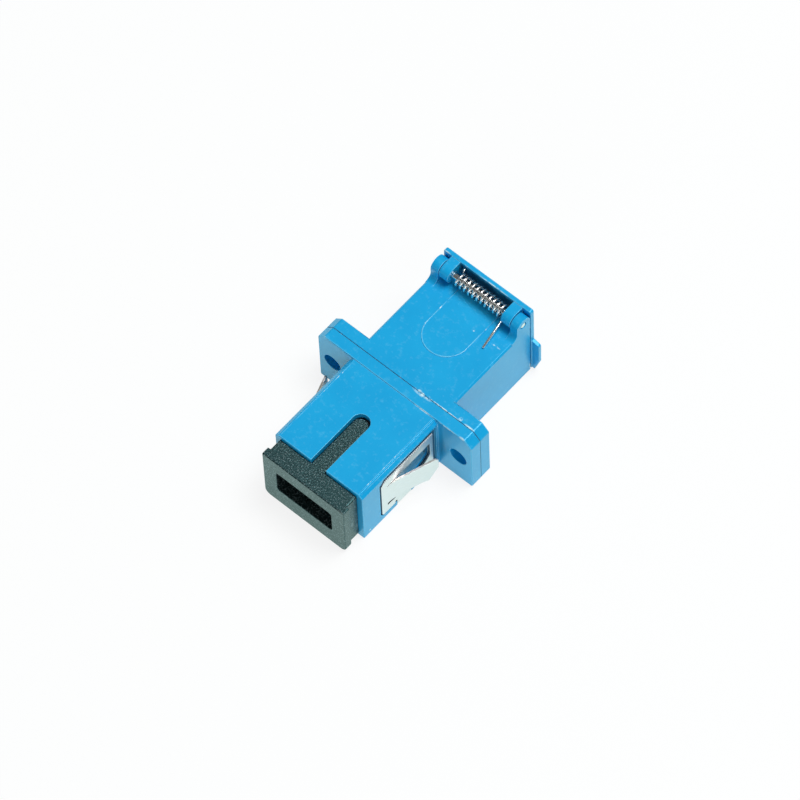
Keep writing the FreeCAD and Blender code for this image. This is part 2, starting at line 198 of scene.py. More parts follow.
def inside_box(tree, place, limits, both_sides=False):
    """1 inside a box given along X, Y and Z by its low end, high end and softness in millimetres.
    With both_sides it counts on the left too."""
    parts = list(axes(tree, place))
    if both_sides:
        parts[0] = absolute(tree, parts[0])
    return product(tree, *(inside(tree, part, low * MM, high * MM, soft * MM)
                           for part, (low, high, soft) in zip(parts, limits)))


def vector_math(tree, operation, first, second, output="Vector"):
    """A Vector Math node on a socket and a plain vector."""
    node = add(tree, "ShaderNodeVectorMath", operation=operation)
    tree.links.new(first, node.inputs[0])
    node.inputs[1].default_value = second
    return node.outputs[output]


def edge_sheen_and_wear(tree, low, high):
    """How near the middle of a rounded edge the point lies: 0 on flats, 1 at the middle of a rounded edge,
    which is made pale as edge wear and as a painted highlight.
    """
    edge = add(tree, "ShaderNodeAttribute", attribute_name="edge")
    return span(tree, edge.outputs["Fac"], low, high)


# Wear, painted highlights and painted shade

# Scuffs seen on the object, with two painted highlights among them, the glint on the right pocket's floor and
# the line along the door's inner top edge: middle, then reach along X, Y and Z, in millimetres
FRONT_SCUFFS_AND_GLINT = [((2.9, 1.45, 4.75), (1.5, 0.35, 0.2)), ((4.3, 0.0, 4.7), (1.6, 0.12, 0.12)),
                ((9.9, 0.0, 4.7), (0.5, 0.25, 0.2)), ((6.4, -11.7, -4.0), (0.1, 0.2, 0.2)),
                ((5.66, -2.0, -1.5), (0.1, 0.2, 0.2)), ((7.8, 0.0, 4.7), (1.5, 0.08, 0.12))]
REAR_SCUFFS = [((3.0, 1.6, 4.75), (1.6, 0.25, 0.2)), ((6.0, 1.62, 4.75), (2.6, 0.10, 0.2)),
               ((8.2, 1.85, 4.75), (0.3, 0.3, 0.2)), ((9.6, 1.65, 4.75), (0.9, 0.16, 0.3)),
               ((5.15, 11.4, 4.75), (0.75, 0.12, 0.1)), ((1.97, 11.33, 4.8), (0.15, 0.15, 0.1)),
               ((6.4, 15.7, -3.6), (0.1, 0.2, 0.9))]
DOOR_SCUFFS_AND_HIGHLIGHT = [((1.0, 15.93, 7.52), (2.6, 0.14, 0.12)), ((6.6, 16.5, -4.4), (0.7, 0.4, 0.5)),
               ((-5.9, 15.95, 7.5), (0.6, 0.12, 0.12))]
PLUG_SCUFFS = [((5.65, -13.6, -0.6), (0.1, 0.35, 1.2)), ((5.65, -13.0, -2.4), (0.1, 0.3, 1.0)),
               ((6.0, -15.3, 4.1), (1.2, 0.1, 0.1))]
PATCH_SCALE = 2600.0
PATCH_BREAKS = (0.38, 0.52)
PATCH_CORE = 0.3

# Places of painted shade, and of a painted reflection in the pockets: low end, high end and softness along X,
# Y and Z, in millimetres
POCKET_BOX = ((5.0, 5.9, 0.04), (-9.0, -0.6, 0.1), (-3.0, 2.0, 0.1))
RECESS_BOX = ((6.02, 6.30, 0.02), (-9.9, -0.35, 0.05), (-3.9, 3.75, 0.05))
DOOR_SHADE_BOX = ((-3.9, 3.9, 0.1), (15.7, 15.97, 0.03), (4.2, 7.25, 0.25))
COIL_SHADE_BOX = ((-3.9, 4.0, 0.3), (14.6, 15.9, 0.4), (4.6, 4.9, 0.03))
POCKET_STREAK_SCALE = 500.0
RECESS_SHADE = 0.9
DOOR_BLOT_SCALE = 900.0
COIL_SHADE = 0.6
SEAM_REACH = 0.07 * MM
SEAM_SHADE = 0.7


def scuffs_and_glints(tree, place, marks):
    """Pale patches, worn scuffs and a few painted highlights, each from its middle and its reach along the
    axes in millimetres, broken up by noise.
    """
    broken = span(tree, noise(tree, place, PATCH_SCALE), *PATCH_BREAKS)
    total = None
    for middle, reach in marks:
        offset = vector_math(tree, "SUBTRACT", place, Vector(middle) * MM)
        share = vector_math(tree, "DIVIDE", offset, Vector(reach) * MM)
        far = vector_math(tree, "LENGTH", share, (0, 0, 0), "Value")
        patch = span(tree, far, PATCH_CORE, 1.0, 1.0, 0.0)
        total = patch if total is None else math_node(tree, "MAXIMUM", total, patch)
    return product(tree, total, broken)


def seam(tree, place):
    """The shadow in the joint between the two halves of the flange, from 0 to 1."""
    away = absolute(tree, math_node(tree, "SUBTRACT", axes(tree, place)[1], REAR_LOW.y))
    return span(tree, away, SEAM_REACH / 2, SEAM_REACH, 1.0, 0.0)


def pocket_painted_reflection(tree, place):
    """The floor of the pocket behind each tongue, made pale in streaks as a painted reflection of the steel.
    """
    streaks = span(tree, noise(tree, place, POCKET_STREAK_SCALE), 0.3, 0.7, 0.45, 0.9)
    return product(tree, inside_box(tree, place, POCKET_BOX, both_sides=True), streaks)


def recess_painted_shade(tree, place):
    """Painted shade in the narrow gap round the clip's plates, on the floor of their recess."""
    return product(tree, inside_box(tree, place, RECESS_BOX, both_sides=True), RECESS_SHADE)


def door_painted_shade(tree, place):
    """Painted shade, broken into blots, on the door's inner face behind the coil."""
    blots = span(tree, noise(tree, place, DOOR_BLOT_SCALE), 0.3, 0.6, 0.75, 0.95)
    return product(tree, inside_box(tree, place, DOOR_SHADE_BOX), blots)


def coil_painted_shade(tree, place):
    """Painted shade on the rear half's top, close under the coil."""
    return product(tree, inside_box(tree, place, COIL_SHADE_BOX), COIL_SHADE)


# Materials

# The pale tone serves the mottling and the painted highlight on rounded edges, the worn tone wear and a few
# painted highlights, the dull tone the pocket's painted reflection, and navy painted shade.
BLUE = (0.007, 0.388, 0.755)
BLUE_DEEP = (0.005, 0.362, 0.725)
BLUE_PALE_MOTTLE_AND_SHEEN = (0.16, 0.58, 0.86)
BLUE_LINE_SHEEN = (0.13, 0.58, 0.88)
BLUE_WORN_AND_GLINT = (0.62, 0.86, 0.95)
BLUE_POCKET_REFLECTION = (0.24, 0.50, 0.62)
BLUE_SEAM = (0.004, 0.12, 0.30)
NAVY_SHADE = (0.003, 0.035, 0.10)
BLUE_CLOUD_SCALE = 260.0
BLUE_MOTTLE_SCALE = 1800.0
BLUE_SPECK_SCALE = 1500.0
BLUE_FINE_SCALE = 4200.0
BLUE_SHEEN = (0.35, 0.85, 1.0, 1.0)
BLUE_BUMP = (0.012, 0.00001)

LINE_SHEEN_SCALE = 700.0
LINE_SPECK_SCALE = 1300.0

GRAIN_SCALE = 6800.0
# The darker stops are the grain's own tone; the brightest stop is a painted glint.
GRAIN_AND_GLINT_STOPS = [(0.44, (0.002, 0.005, 0.006)), (0.54, (0.012, 0.022, 0.023)),
               (0.60, (0.048, 0.072, 0.075)), (0.68, (0.19, 0.24, 0.25))]
GRAIN_BUMP = (0.8, 0.00004)
PLUG_SHEEN = (0.4, 0.95, 1.0, 1.0)
PLUG_WORN = (0.16, 0.20, 0.20)

# The clip's steel, and the teeth that shearing left on the upper edge of its plates
STEEL_LOW = (0.70, 0.67, 0.70)
STEEL_HIGH = (0.76, 0.73, 0.76)
STEEL_CUT = (0.36, 0.35, 0.32)
STEEL_GRAIN_SCALE = 5200.0
STEEL_GRAIN_STRETCH = (1.0, 0.15, 1.0)
STEEL_BUMP = (0.10, 0.00001)
PLATE_INNER = 6.1 * MM
PLATE_OUTER = 6.42 * MM
PLATE_LIT = 6.24 * MM
SHEAR_HEIGHT = 0.28 * MM
SHEAR_SOFT = 0.05 * MM
SHEAR_PALE = (0.88, 0.92, 0.92)
SHEAR_DARK = (0.10, 0.13, 0.14)
SHEAR_SHARE = 0.8
SHEAR_PER_METRE = math.tau / (0.24 * MM)
SHEAR_WOBBLE = 9.0
SHEAR_WOBBLE_SCALE = 900.0

WIRE_MARK_SCALE = 6000.0


def blue_plastic(name, shade_mask, marks):
    """Bright blue moulded plastic: satin, slightly mottled, pale along its rounded edges as edge wear and as a
    painted highlight, whitened in a few worn specks, with painted shade and a painted reflection in places.
    The second argument gives how much painted shade a place gets, from 0 to 1, and the third lists its scuffs
    and painted highlights."""
    material, tree, shader = new_material(name)
    place = object_position(tree)
    cloud = noise(tree, place, BLUE_CLOUD_SCALE)
    colour = mix(tree, span(tree, cloud, 0.35, 0.65), BLUE_DEEP, BLUE)
    mottle = noise(tree, place, BLUE_MOTTLE_SCALE, rough=0.6)
    colour = mix(tree, span(tree, mottle, 0.55, 0.75, 0.0, 0.25), colour, BLUE_PALE_MOTTLE_AND_SHEEN)
    sheen_and_wear = edge_sheen_and_wear(tree, 0.2, 0.9)
    # Rounded edges turn pale: partly edge wear, partly a painted highlight
    colour = mix(tree, sheen_and_wear, colour, BLUE_PALE_MOTTLE_AND_SHEEN)
    specks = span(tree, noise(tree, place, BLUE_SPECK_SCALE, detail=2.0), 0.62, 0.70)
    colour = mix(tree, product(tree, sheen_and_wear, specks), colour, BLUE_WORN_AND_GLINT)
    # Painted shade from the given mask
    colour = mix(tree, shade_mask(tree, place), colour, NAVY_SHADE)
    # Painted reflection on the pocket floor
    colour = mix(tree, pocket_painted_reflection(tree, place), colour, BLUE_POCKET_REFLECTION)
    joint = seam(tree, place)
    colour = mix(tree, product(tree, joint, SEAM_SHADE), colour, BLUE_SEAM)
    # Scuffs, and painted highlights
    colour = mix(tree, scuffs_and_glints(tree, place, marks), colour, BLUE_WORN_AND_GLINT)
    tree.links.new(colour, shader.inputs["Base Color"])
    fine = noise(tree, place, BLUE_FINE_SCALE, detail=4.0)
    tree.links.new(span(tree, joint, 0.0, 1.0, 0.8, 0.4), shader.inputs["Specular IOR Level"])
    tree.links.new(span(tree, fine, 0.3, 0.7, 0.28, 0.31), shader.inputs["Roughness"])
    shader.inputs["Specular Tint"].default_value = BLUE_SHEEN
    bump(tree, shader, fine, *BLUE_BUMP)
    return material


def line_plastic():
    """The same blue plastic on the fine raised lines, paler in uneven streaks as a painted highlight, with a
    few worn specks.
    """
    material, tree, shader = new_material("blue_line_look")
    place = object_position(tree)
    line_sheen = noise(tree, place, LINE_SHEEN_SCALE, detail=4.0)
    colour = mix(tree, span(tree, line_sheen, 0.30, 0.62), BLUE, BLUE_LINE_SHEEN)
    specks = span(tree, noise(tree, place, LINE_SPECK_SCALE, detail=1.0), 0.66, 0.72)
    tree.links.new(mix(tree, specks, colour, BLUE_WORN_AND_GLINT), shader.inputs["Base Color"])
    shader.inputs["Roughness"].default_value = 0.25
    return material


def black_plastic():
    """Soft black plastic with a coarse spark-eroded grain, its brightest grains a painted glint."""
    material, tree, shader = new_material("black_plastic_look")
    place = object_position(tree)
    grain = noise(tree, place, GRAIN_SCALE, detail=2.0, rough=0.6)
    colour = ramp(tree, grain, GRAIN_AND_GLINT_STOPS)
    colour = mix(tree, scuffs_and_glints(tree, place, PLUG_SCUFFS), colour, PLUG_WORN)
    tree.links.new(colour, shader.inputs["Base Color"])
    shader.inputs["Roughness"].default_value = 0.34
    shader.inputs["Specular IOR Level"].default_value = 0.8
    shader.inputs["Specular Tint"].default_value = PLUG_SHEEN
    bump(tree, shader, grain, *GRAIN_BUMP)
    return material


def clip_steel():
    """Bright rolled stainless sheet: dull where it is cut, with close teeth along the plates' upper edge,
    whose inner half carries painted shade from the gap above it.
    """
    material, tree, shader = new_material("clip_steel_look")
    place = object_position(tree)
    stretch = add(tree, "ShaderNodeMapping", Scale=STEEL_GRAIN_STRETCH)
    tree.links.new(place, stretch.inputs["Vector"])
    drawn = noise(tree, stretch.outputs["Vector"], STEEL_GRAIN_SCALE)
    colour = mix(tree, span(tree, drawn, 0.3, 0.7), STEEL_LOW, STEEL_HIGH)
    across, along, up = axes(tree, place)
    away = absolute(tree, across)
    side = inside(tree, away, PLATE_INNER, PLATE_OUTER, SHEAR_SOFT)
    wobble = noise(tree, place, SHEAR_WOBBLE_SCALE, detail=2.0)
    phase = math_node(tree, "ADD", math_node(tree, "MULTIPLY", along, SHEAR_PER_METRE),
                      math_node(tree, "MULTIPLY", wobble, SHEAR_WOBBLE))
    teeth = span(tree, math_node(tree, "SINE", phase, 0.0), -0.2, 0.6)
    band = inside(tree, up, CLIP_HIGH.z - SHEAR_HEIGHT, CLIP_HIGH.z + SHEAR_HEIGHT, SHEAR_SOFT)
    patches = span(tree, wobble, 0.40, 0.60, 0.5, 1.0)
    edge = product(tree, side, band)
    colour = mix(tree, product(tree, edge, patches, SHEAR_SHARE), colour, SHEAR_PALE)
    colour = mix(tree, product(tree, edge, teeth, patches, SHEAR_SHARE), colour, SHEAR_DARK)
    # Painted shade: the inner half of the plates' upper edge is darkened as the gap's shade
    gap_shade = span(tree, away, PLATE_LIT, PLATE_LIT + SHEAR_SOFT, 1.0, 0.0)
    colour = mix(tree, product(tree, edge, gap_shade), colour, NAVY_SHADE)
    facing = add(tree, "ShaderNodeTexCoord").outputs["Normal"]
    cut = span(tree, absolute(tree, axes(tree, facing)[2]), 0.6, 0.8)
    below_teeth = span(tree, up, CLIP_HIGH.z - SHEAR_HEIGHT, CLIP_HIGH.z - SHEAR_HEIGHT / 2, 1.0, 0.0)
    above_fold = span(tree, up, CLIP_LOW.z + SHEAR_HEIGHT, CLIP_LOW.z + SHEAR_HEIGHT * 2)
    colour = mix(tree, product(tree, cut, below_teeth, above_fold, patches), colour, STEEL_CUT)
    tree.links.new(colour, shader.inputs["Base Color"])
    tree.links.new(span(tree, drawn, 0.3, 0.7, 0.30, 0.42), shader.inputs["Roughness"])
    tree.links.new(span(tree, edge, 0.0, 1.0, 1.0, 0.4), shader.inputs["Metallic"])
    bump(tree, shader, drawn, *STEEL_BUMP)
    return material


def wire_steel(name, colour_low, colour_high, rough_low, rough_high):
    """Bright steel, its colour and gloss slightly uneven."""
    material, tree, shader = new_material(name)
    marks = noise(tree, object_position(tree), WIRE_MARK_SCALE, detail=4.0)
    colour = mix(tree, span(tree, marks, 0.3, 0.7), colour_low, colour_high)
    tree.links.new(colour, shader.inputs["Base Color"])
    tree.links.new(span(tree, marks, 0.3, 0.7, rough_low, rough_high), shader.inputs["Roughness"])
    shader.inputs["Metallic"].default_value = 1.0
    return material


def clouded(name, scale, colour_low, colour_high, rough):
    """A plain material whose colour drifts between two tones."""
    material, tree, shader = new_material(name)
    cloud = noise(tree, object_position(tree), scale)
    colour = mix(tree, span(tree, cloud, 0.3, 0.7), colour_low, colour_high)
    tree.links.new(colour, shader.inputs["Base Color"])
    shader.inputs["Roughness"].default_value = rough
    return material


LOOKS = {
    "front": blue_plastic("blue_front_look", recess_painted_shade, FRONT_SCUFFS_AND_GLINT),
    "rear": blue_plastic("blue_rear_look", coil_painted_shade, REAR_SCUFFS),
    "door": blue_plastic("blue_door_look", door_painted_shade, DOOR_SCUFFS_AND_HIGHLIGHT),
    "line": line_plastic(),
    "black": black_plastic(),
    "clip": clip_steel(),
    "pin": wire_steel("pin_steel_look", (0.66, 0.67, 0.65), (0.72, 0.73, 0.71), 0.14, 0.20),
    "spring": wire_steel("spring_steel_look", (0.84, 0.84, 0.83), (0.92, 0.92, 0.91), 0.25, 0.28),
    "latch": clouded("latch_plastic_look", 400.0, (0.76, 0.76, 0.70), (0.84, 0.84, 0.80), 0.45),
    "ceramic": clouded("sleeve_ceramic_look", 900.0, (0.86, 0.86, 0.83), (0.92, 0.92, 0.90), 0.15),
}


# Rounded copies of the frame's moulded pieces and of the clip

# Least angle of a crease that is rounded
CREASE = math.radians(28)
# Share of the way from a strip's chord to the old crease, or to the old corner, that its middle bulges
ROUND = 0.414
# Greatest share of an edge that a corner may be drawn in along it
SLIM = 0.4
# A corner's turn, from 0 where its two creases fold back to 2 where they run straight on
LEAST_TURN = 0.3
STRAIGHT_TURN = 1.7
# How far apart points may lie and still be one, and how parallel the faces of a flat patch are
MERGE = 5e-7
PARALLEL = 0.99999
# Flat patches are filled in millimetres, to this tolerance
PER_METRE = 1000
FILL_TOLERANCE = 1e-6
# The fill's kind: triangles inside the outline
FILL_INSIDE = 1


def inward(face, edge, vertex):
    """Unit direction in a face, square to one of its edges, pointing into the face."""
    along = (edge.other_vert(vertex).co - vertex.co).normalized()
    side = face.calc_center_median() - vertex.co
    side -= along * side.dot(along)
    side -= face.normal * side.dot(face.normal)
    return side.normalized()


class Sector:
    """The faces round a vertex between two creases, with the place and normal of their shared corner."""

    def __init__(self, vertex, faces, creases, width):
        total = Vector()
        for face in faces:
            total += face.normal * face.calc_area()
        self.normal = total.normalized()
        self.place = vertex.co.copy()
        self.index = None
        sides = [inward(face, edge, vertex) for edge, face in creases]
        if len(sides) != 2 or creases[0][0] is creases[1][0]:
            return
        inner = {edge for face in faces for edge in face.edges if vertex in edge.verts}
        inner -= {edge for edge, face in creases}
        turn = max(LEAST_TURN, 1 + sides[0].dot(sides[1]))
        if turn < STRAIGHT_TURN:
            inner |= {edge for edge, face in creases}
        room = min([edge.calc_length() * SLIM for edge in inner] + [width])
        self.place += (sides[0] + sides[1]) * (room / turn)


def sectors_at(vertex, creased, width):
    """The vertex's sectors, and which one holds each face."""
    left = list(vertex.link_faces)
    found = []
    holder = {}
    while left:
        faces = []
        edges = []
        queue = [left.pop()]
        while queue:
            face = queue.pop()
            faces.append(face)
            for edge in face.edges:
                if vertex not in edge.verts:
                    continue
                if edge in creased:
                    edges.append((edge, face))
                    continue
                for other in edge.link_faces:
                    if other in left:
                        left.remove(other)
                        queue.append(other)
        sector = Sector(vertex, faces, edges, width)
        found.append(sector)
        for face in faces:
            holder[face] = sector
    return found, holder


class Skin:
    """Collects the points and faces of a rounded copy, with a normal and an edge value for each point."""

    def __init__(self):
        self.places = []
        self.normals = []
        self.edges = []
        self.faces = []

    def point(self, place, normal, edge=0.0):
        """Adds a point and returns its number."""
        self.places.append(place.copy())
        self.normals.append(normal.normalized())
        self.edges.append(edge)
        return len(self.places) - 1

    def face(self, points):
        """Adds a face, unless its points fall together."""
        kept = [p for i, p in enumerate(points) if p != points[i - 1]]
        if len(kept) > 2 and len(set(kept)) == len(kept):
            self.faces.append(kept)

    def mesh(self, name):
        """The collected mesh, smooth, with its normals and edge values."""
        mesh = bpy.data.meshes.new(name)
        mesh.from_pydata(self.places, [], self.faces)
        for face in mesh.polygons:
            face.use_smooth = True
        edge = mesh.attributes.new("edge", "FLOAT", "POINT")
        edge.data.foreach_set("value", self.edges)
        mesh.normals_split_custom_set([self.normals[loop.vertex_index] for loop in mesh.loops])
        return mesh


def flat_patches(work, creased):
    """Groups of joined faces that lie in one plane."""
    left = set(work.faces)
    patches = []
    for seed in work.faces:
        if seed not in left:
            continue
        left.remove(seed)
        patch = [seed]
        queue = [seed]
        while queue:
            face = queue.pop()
            for edge in face.edges:
                if edge in creased:
                    continue
                for other in edge.link_faces:
                    if other in left and other.normal.dot(seed.normal) > PARALLEL:
                        left.remove(other)
                        patch.append(other)
                        queue.append(other)
        patches.append(patch)
    return patches


def fill_flat(skin, patch, corner):
    """Fills a flat patch anew between the drawn-in corners of its outline; tells whether that worked."""
    normal = patch[0].normal
    turn = normal.to_track_quat("Z", "Y").inverted()
    members = set(patch)
    rim = []
    for face in patch:
        for loop in face.loops:
            around = [f for f in loop.edge.link_faces if f is not face]
            if not around or around[0] not in members:
                rim.append((corner(loop.vert, face), corner(loop.link_loop_next.vert, face)))
    names = sorted({p for pair in rim for p in pair})
    spot = {p: i for i, p in enumerate(names)}
    flat = [(turn @ skin.places[p]).to_2d() * PER_METRE for p in names]
    lines = [(spot[a], spot[b]) for a, b in rim if a != b]
    places, _, faces, sources, _, _ = delaunay_2d_cdt(flat, lines, [], FILL_INSIDE, FILL_TOLERANCE)
    if any(len(origin) != 1 for origin in sources):
        return False
    for face in faces:
        middle = sum((places[i] for i in face), Vector((0, 0))) / len(face)
        crossings = 0
        for a, b in lines:
            p, q = flat[a], flat[b]
            if (p.y > middle.y) != (q.y > middle.y):
                if middle.x < p.x + (q.x - p.x) * (middle.y - p.y) / (q.y - p.y):
                    crossings += 1
        if crossings % 2:
            skin.face([names[sources[i][0]] for i in face])
    return True


def rounded_mesh(node, name, width):
    """A copy of a node's mesh with its creases rounded: each smooth patch is drawn in from its creases, and
    rounded strips along the creases and caps at their corners close the gaps."""
    work = bmesh.new()
    work.from_mesh(frame["nodes"][node].data)
    bmesh.ops.remove_doubles(work, verts=work.verts, dist=MERGE)
    bmesh.ops.dissolve_degenerate(work, edges=work.edges, dist=MERGE)
    work.normal_update()
    # A dict and not a set, so that the creases keep their order and each run gives the same mesh
    creased = dict.fromkeys(e for e in work.edges if len(e.link_faces) == 2 and e.calc_face_angle(0) > CREASE)
    skin = Skin()
    groups = {}
    holders = {}
    for vertex in work.verts:
        groups[vertex], holders[vertex] = sectors_at(vertex, creased, width)
        for sector in groups[vertex]:
            sector.index = skin.point(sector.place, sector.normal)

    def corner(vertex, face):
        """The drawn-in corner that a face has at a vertex."""
        return holders[vertex][face].index

    for patch in flat_patches(work, creased):
        if len(patch) > 1 and fill_flat(skin, patch, corner):
            continue
        for face in patch:
            skin.face([corner(v, face) for v in face.verts])
    middles = {}

    def middle(vertex, edge):
        """The strip's middle point at one end of a crease."""
        both = [holders[vertex][face] for face in edge.link_faces]
        if both[0] is both[1]:
            return both[0].index
        many = len(groups[vertex]) > 2
        key = (vertex, edge if many else None)
        if key not in middles:
            chord = (both[0].place + both[1].place) / 2
            apex = vertex.co
            if many:
                along = (edge.other_vert(vertex).co - vertex.co).normalized()
                apex = vertex.co + along * (chord - vertex.co).dot(along)
            place = chord + (apex - chord) * ROUND
            middles[key] = skin.point(place, both[0].normal + both[1].normal, 1.0)
        return middles[key]

    for edge in creased:
        for face in edge.link_faces:
            loop = next(l for l in face.loops if l.edge is edge)
            a, b = loop.vert, loop.link_loop_next.vert
            skin.face([corner(b, face), corner(a, face), middle(a, edge), middle(b, edge)])
    for vertex in work.verts:
        if len(groups[vertex]) < 3:
            continue
        ring = []
        loop = next(iter(vertex.link_loops))
        start = loop
        while True:
            ring.append(corner(vertex, loop.face))
            edge = loop.edge
            if edge in creased:
                ring.append(middle(vertex, edge))
            loop = loop.link_loop_radial_next.link_loop_next
            if loop is start:
                break
        ring = [p for i, p in enumerate(ring) if p != ring[i - 1]]
        centre = sum((skin.places[p] for p in ring), Vector()) / len(ring)
        normal = sum((skin.normals[p] for p in ring), Vector())
        peak = skin.point(centre + (vertex.co - centre) * ROUND / 2, normal, 1.0)
        for i, p in enumerate(ring):
            skin.face([p, ring[i - 1], peak])
    work.free()
    return skin.mesh(name)


# Pieces

PLASTIC_ROUND = 0.06 * MM
PLUG_ROUND = 0.09 * MM
SHEET_ROUND = 0.03 * MM


def dress(node, look):
    """Gives a frame node its material."""
    piece = frame["nodes"][node]
    piece.data.materials.clear()
    piece.data.materials.append(LOOKS[look])


def new_piece(name, mesh, look):
    """A piece with its look."""
    piece = bpy.data.objects.new(name, mesh)
    SCENE.collection.objects.link(piece)
    piece.data.materials.append(LOOKS[look])
    return piece


def rounded_piece(node, name, body, look, width):
    """A rounded copy of a node, in its place."""
    piece = new_piece(name, rounded_mesh(node, name, width), look)
    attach(piece, body)
    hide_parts(node)


rounded_piece("front_housing", "front_shell", "housing", "front", PLASTIC_ROUND)
rounded_piece("rear_housing", "rear_shell", "housing", "rear", PLASTIC_ROUND)
rounded_piece("shutter_door", "shutter_flap", "shutter", "door", PLASTIC_ROUND)
rounded_piece("dust_plug", "port_plug", "plug", "black", PLUG_ROUND)
rounded_piece("retention_clip", "panel_clip", "housing", "clip", SHEET_ROUND)
dress("hinge_pin", "pin")
dress("front_latch_holder", "latch")
dress("rear_latch_holder", "latch")
dress("alignment_sleeve", "ceramic")


# Fine raised lines of the mouldings, and the torsion spring as its real round wire

# The raised field's rim on the rear half, and the lines beside the front half's upper edges
LINE_SIDES = 8
PANEL_HALF = 2.85 * MM
PANEL_START = 6.2 * MM
PANEL_END = 13.4 * MM
PANEL_HEIGHT = 0.02 * MM
PANEL_STEPS = 40
PANEL_LINE = 0.085 * MM
EDGE_LINE = 0.04 * MM
EDGE_LINE_GAP = 0.3 * MM
EDGE_LINE_END = -0.2 * MM
# Name, then X and Z in millimetres
EDGE_LINES = [("line_inner", 5.74, 4.645), ("line_outer", 6.03, 4.52), ("line_left", -5.74, 4.645)]

# The coil runs round the pin from the door's leg to the body's leg
WIRE_RADIUS = 0.15 * MM
WIRE_SIDES = 14
WIRE_END_LENGTH = 0.25
WIRE_END_WIDTH = 0.7
COIL_RADIUS = 0.79 * MM
COIL_PITCH = 0.61 * MM
COIL_START = -3.36 * MM
COIL_STEPS = 36
COIL_TURNS = 11
DOOR_LEG_ANGLE = math.radians(18)
DOOR_LEG_LENGTH = 0.98 * MM
BODY_LEG_ANGLE = math.radians(5.5)
BODY_LEG_BEND = 0.5 * MM
BODY_LEG_STEPS = 6
BODY_LEG_END = Vector((4.2 * MM, HINGE.y - 4.45 * MM, REAR_TOP + WIRE_RADIUS + 0.015 * MM))


def coil_point(turned):
    """A point of the coil's centre line, by the angle from its top over its back."""
    along = COIL_START + COIL_PITCH * turned / math.tau
    back = HINGE.y + COIL_RADIUS * math.sin(turned)
    up = HINGE.z + COIL_RADIUS * math.cos(turned)
    return Vector((along, back, up))


def spring_path():
    """Centre line of the spring: a leg on the door, the coil round the pin, a leg on the rear half's top."""
    start = math.pi / 2 + DOOR_LEG_ANGLE
    end = math.tau * COIL_TURNS + math.pi - BODY_LEG_ANGLE
    first = coil_point(start)
    rising = Vector((0, math.sin(DOOR_LEG_ANGLE), math.cos(DOOR_LEG_ANGLE)))
    path = [first + rising * DOOR_LEG_LENGTH, first + rising * DOOR_LEG_LENGTH / 2]
    steps = round((end - start) / math.tau * COIL_STEPS)
    path += [coil_point(start + (end - start) * i / steps) for i in range(steps + 1)]
    heading = (path[-1] - path[-2]).normalized()
    leave = path[-1]
    knee = leave + heading * BODY_LEG_BEND
    after = knee + (BODY_LEG_END - knee).normalized() * BODY_LEG_BEND
    for i in range(1, BODY_LEG_STEPS + 1):
        share = i / BODY_LEG_STEPS
        path.append(leave.lerp(knee, share).lerp(knee.lerp(after, share), share))
    path.append(BODY_LEG_END)
    return path


def wire_mesh(name, path, radius, sides):
    """A round wire along a path, its cut ends slightly rounded."""
    rings = []
    last = len(path) - 1
    side = Vector((1, 0, 0))
    for i, place in enumerate(path):
        ahead = (path[min(i + 1, last)] - path[max(i - 1, 0)]).normalized()
        side = (side - ahead * side.dot(ahead)).normalized()
        across = ahead.cross(side)
        cut = ahead * radius * WIRE_END_LENGTH
        steps = [(place, radius)]
        if i == 0:
            steps = [(place, radius * WIRE_END_WIDTH), (place + cut, radius)]
        if i == last:
            steps = [(place - cut, radius), (place, radius * WIRE_END_WIDTH)]
        for centre, size in steps:
            rings.append([centre + (side * math.cos(a) + across * math.sin(a)) * size
                          for a in (math.tau * k / sides for k in range(sides))])
    points = [p for ring in rings for p in ring]
    faces = [tuple(reversed(range(sides))), tuple(range(len(points) - sides, len(points)))]
    for i in range(len(rings) - 1):
        for k in range(sides):
            a = i * sides + k
            b = i * sides + (k + 1) % sides
            faces.append((a, b, b + sides, a + sides))
    mesh = bpy.data.meshes.new(name)
    mesh.from_pydata(points, [], faces)
    for face in mesh.polygons:
        face.use_smooth = len(face.vertices) == 4
    return mesh


def raised_line(name, path, radius):
    """A fine raised line on the housing."""
    piece = new_piece(name, wire_mesh(name, path, radius, LINE_SIDES), "line")
    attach(piece, "housing")


def panel_line():
    """The rim of the shallow raised field on the rear half: two sides joined by half a circle in front."""
    height = REAR_TOP + PANEL_HEIGHT
    centre = Vector((0, PANEL_START + PANEL_HALF, height))
    turns = [math.pi * i / PANEL_STEPS for i in range(PANEL_STEPS + 1)]
    arc = [centre - Vector((math.cos(a), math.sin(a), 0)) * PANEL_HALF for a in turns]
    end = Vector((0, PANEL_END, height))
    side = Vector((PANEL_HALF, 0, 0))
    raised_line("panel_line", [end - side] + arc + [end + side], PANEL_LINE)


def edge_lines():
    """Two fine lines along the upper right edge of the front half, and one on the left."""
    ends = (FRONT_LOW.y + EDGE_LINE_GAP, EDGE_LINE_END)
    for name, across, height in EDGE_LINES:
        raised_line(name, [Vector((across * MM, y, height * MM)) for y in ends], EDGE_LINE)


def spring_wire():
    """The spring as one round wire, a leg on the door, the coil round the pin and a leg on the housing, fixed
    where it is built.
    """
    mesh = wire_mesh("spring_wire", spring_path(), WIRE_RADIUS, WIRE_SIDES)
    piece = new_piece("spring_wire", mesh, "spring")
    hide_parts("torsion_spring")
    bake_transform(piece)


panel_line()
edge_lines()
spring_wire()


# Stage: floor, lights and camera

FLOOR_HALF = 4.0
FLOOR_COLOUR = (0.90, 0.95, 0.95, 1.0)
FLOOR_GLOW = 0.85
FLOOR_GLOW_IN_GLOSS = 0.75
FLOOR_SHEEN = (0.98, 1.27, 1.18)
WHITE = (1.0, 1.0, 1.0)
WORLD_STRENGTH = 0.15
# Place, size and energy
KEY_LIGHT = ((0.16, 0.20, 0.80), 0.42, 6.4)
FILL_LIGHT = ((0.30, -0.75, 0.25), 0.40, 1.5)


